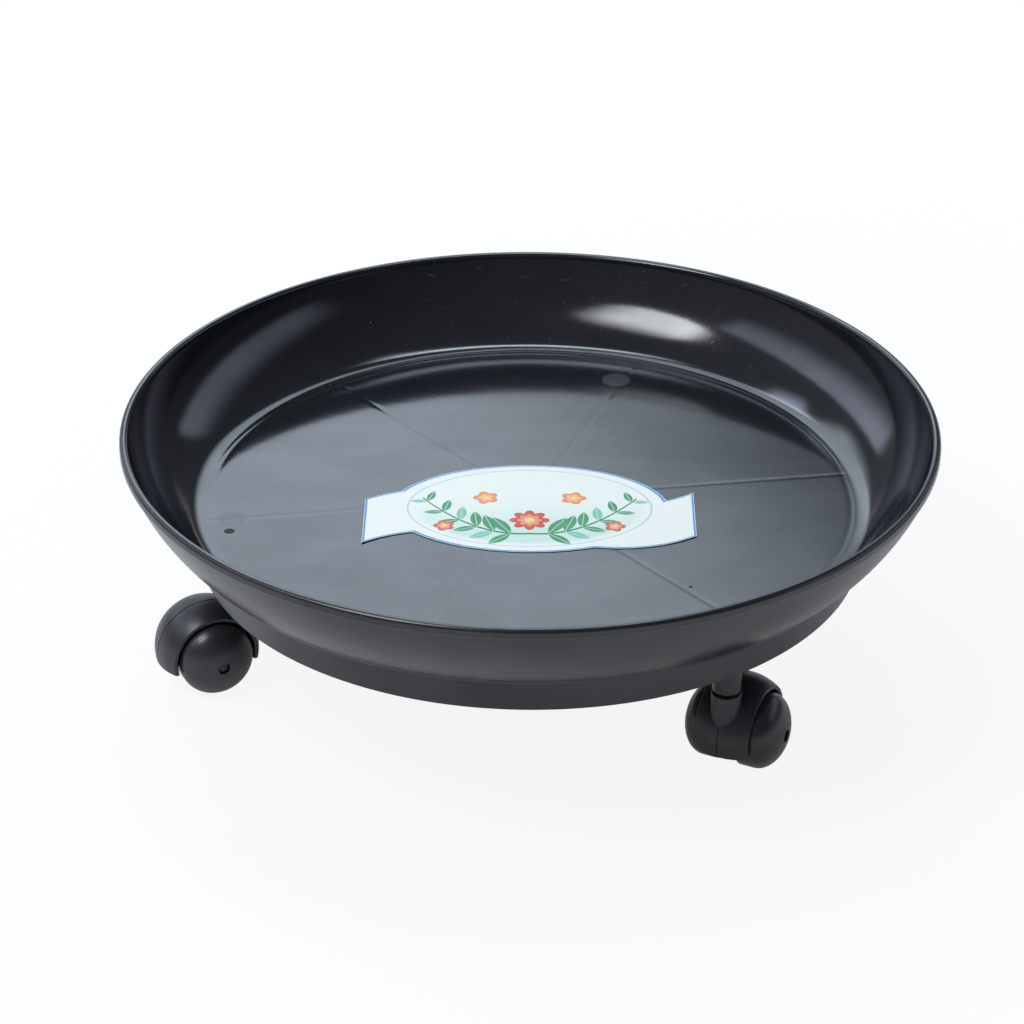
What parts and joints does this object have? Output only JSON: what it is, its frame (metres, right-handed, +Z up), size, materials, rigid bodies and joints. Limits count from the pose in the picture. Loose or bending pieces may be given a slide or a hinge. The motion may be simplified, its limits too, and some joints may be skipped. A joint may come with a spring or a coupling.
{
  "type": "plant pot caddy",
  "caption": "Round black moulded plant pot caddy: a shallow flared dish with a flat floor and a paper label, a stepped skirt below, and swivelling twin-wheel casters on round bosses.",
  "frame": {"origin": "on the ground, under the middle of the tray", "axes": "+Z up; -Y towards the viewer of the picture and +X to the viewer's right"},
  "size_m": [0.38, 0.38, 0.1225],
  "materials": {
    "tray_plastic": "glossy black moulded polypropylene, lightly scuffed",
    "label_paper": "coated white paper sticker",
    "hood_plastic": "satin black moulded nylon",
    "wheel_plastic": "satin black moulded nylon",
    "steel": "bright drawn steel",
    "axle_steel": "dark oxide steel"
  },
  "bodies": {
    "tray": {"tray": "tray_plastic", "label": "label_paper"},
    "back_caster": {"back_hood": "hood_plastic", "back_stem": "steel", "back_grip_ring": "steel", "back_axle": "axle_steel"},
    "back_wheel_1": {"back_wheel_1": "wheel_plastic"},
    "back_wheel_2": {"back_wheel_2": "wheel_plastic"},
    "left_caster": {"left_hood": "hood_plastic", "left_stem": "steel", "left_grip_ring": "steel", "left_axle": "axle_steel"},
    "left_wheel_1": {"left_wheel_1": "wheel_plastic"},
    "left_wheel_2": {"left_wheel_2": "wheel_plastic"},
    "right_caster": {"right_hood": "hood_plastic", "right_stem": "steel", "right_grip_ring": "steel", "right_axle": "axle_steel"},
    "right_wheel_1": {"right_wheel_1": "wheel_plastic"},
    "right_wheel_2": {"right_wheel_2": "wheel_plastic"}
  },
  "joints": [
    {"name": "back_swivel", "type": "hinge", "parent": "tray", "child": "back_caster", "pos_m": [0.04952, 0.13106, 0.0445], "axis": [0, 0, 1], "continuous": true},
    {"name": "left_swivel", "type": "hinge", "parent": "tray", "child": "left_caster", "pos_m": [-0.13826, -0.02264, 0.0445], "axis": [0, 0, 1], "continuous": true},
    {"name": "right_swivel", "type": "hinge", "parent": "tray", "child": "right_caster", "pos_m": [0.08874, -0.10841, 0.0445], "axis": [0, 0, 1], "continuous": true},
    {"name": "back_wheel_1_spin", "type": "hinge", "parent": "back_caster", "child": "back_wheel_1", "pos_m": [0.04248, 0.1443, 0.0178], "axis": [-0.8829, -0.4695, 0], "continuous": true},
    {"name": "back_wheel_2_spin", "type": "hinge", "parent": "back_caster", "child": "back_wheel_2", "pos_m": [0.04248, 0.1443, 0.0178], "axis": [-0.8829, -0.4695, 0], "continuous": true},
    {"name": "left_wheel_1_spin", "type": "hinge", "parent": "left_caster", "child": "left_wheel_1", "pos_m": [-0.15185, -0.02898, 0.0178], "axis": [0.4226, -0.9063, 0], "continuous": true},
    {"name": "left_wheel_2_spin", "type": "hinge", "parent": "left_caster", "child": "left_wheel_2", "pos_m": [-0.15185, -0.02898, 0.0178], "axis": [0.4226, -0.9063, 0], "continuous": true},
    {"name": "right_wheel_1_spin", "type": "hinge", "parent": "right_caster", "child": "right_wheel_1", "pos_m": [0.09541, -0.09498, 0.0178], "axis": [-0.8957, 0.4446, 0], "continuous": true},
    {"name": "right_wheel_2_spin", "type": "hinge", "parent": "right_caster", "child": "right_wheel_2", "pos_m": [0.09541, -0.09498, 0.0178], "axis": [-0.8957, 0.4446, 0], "continuous": true}
  ]
}
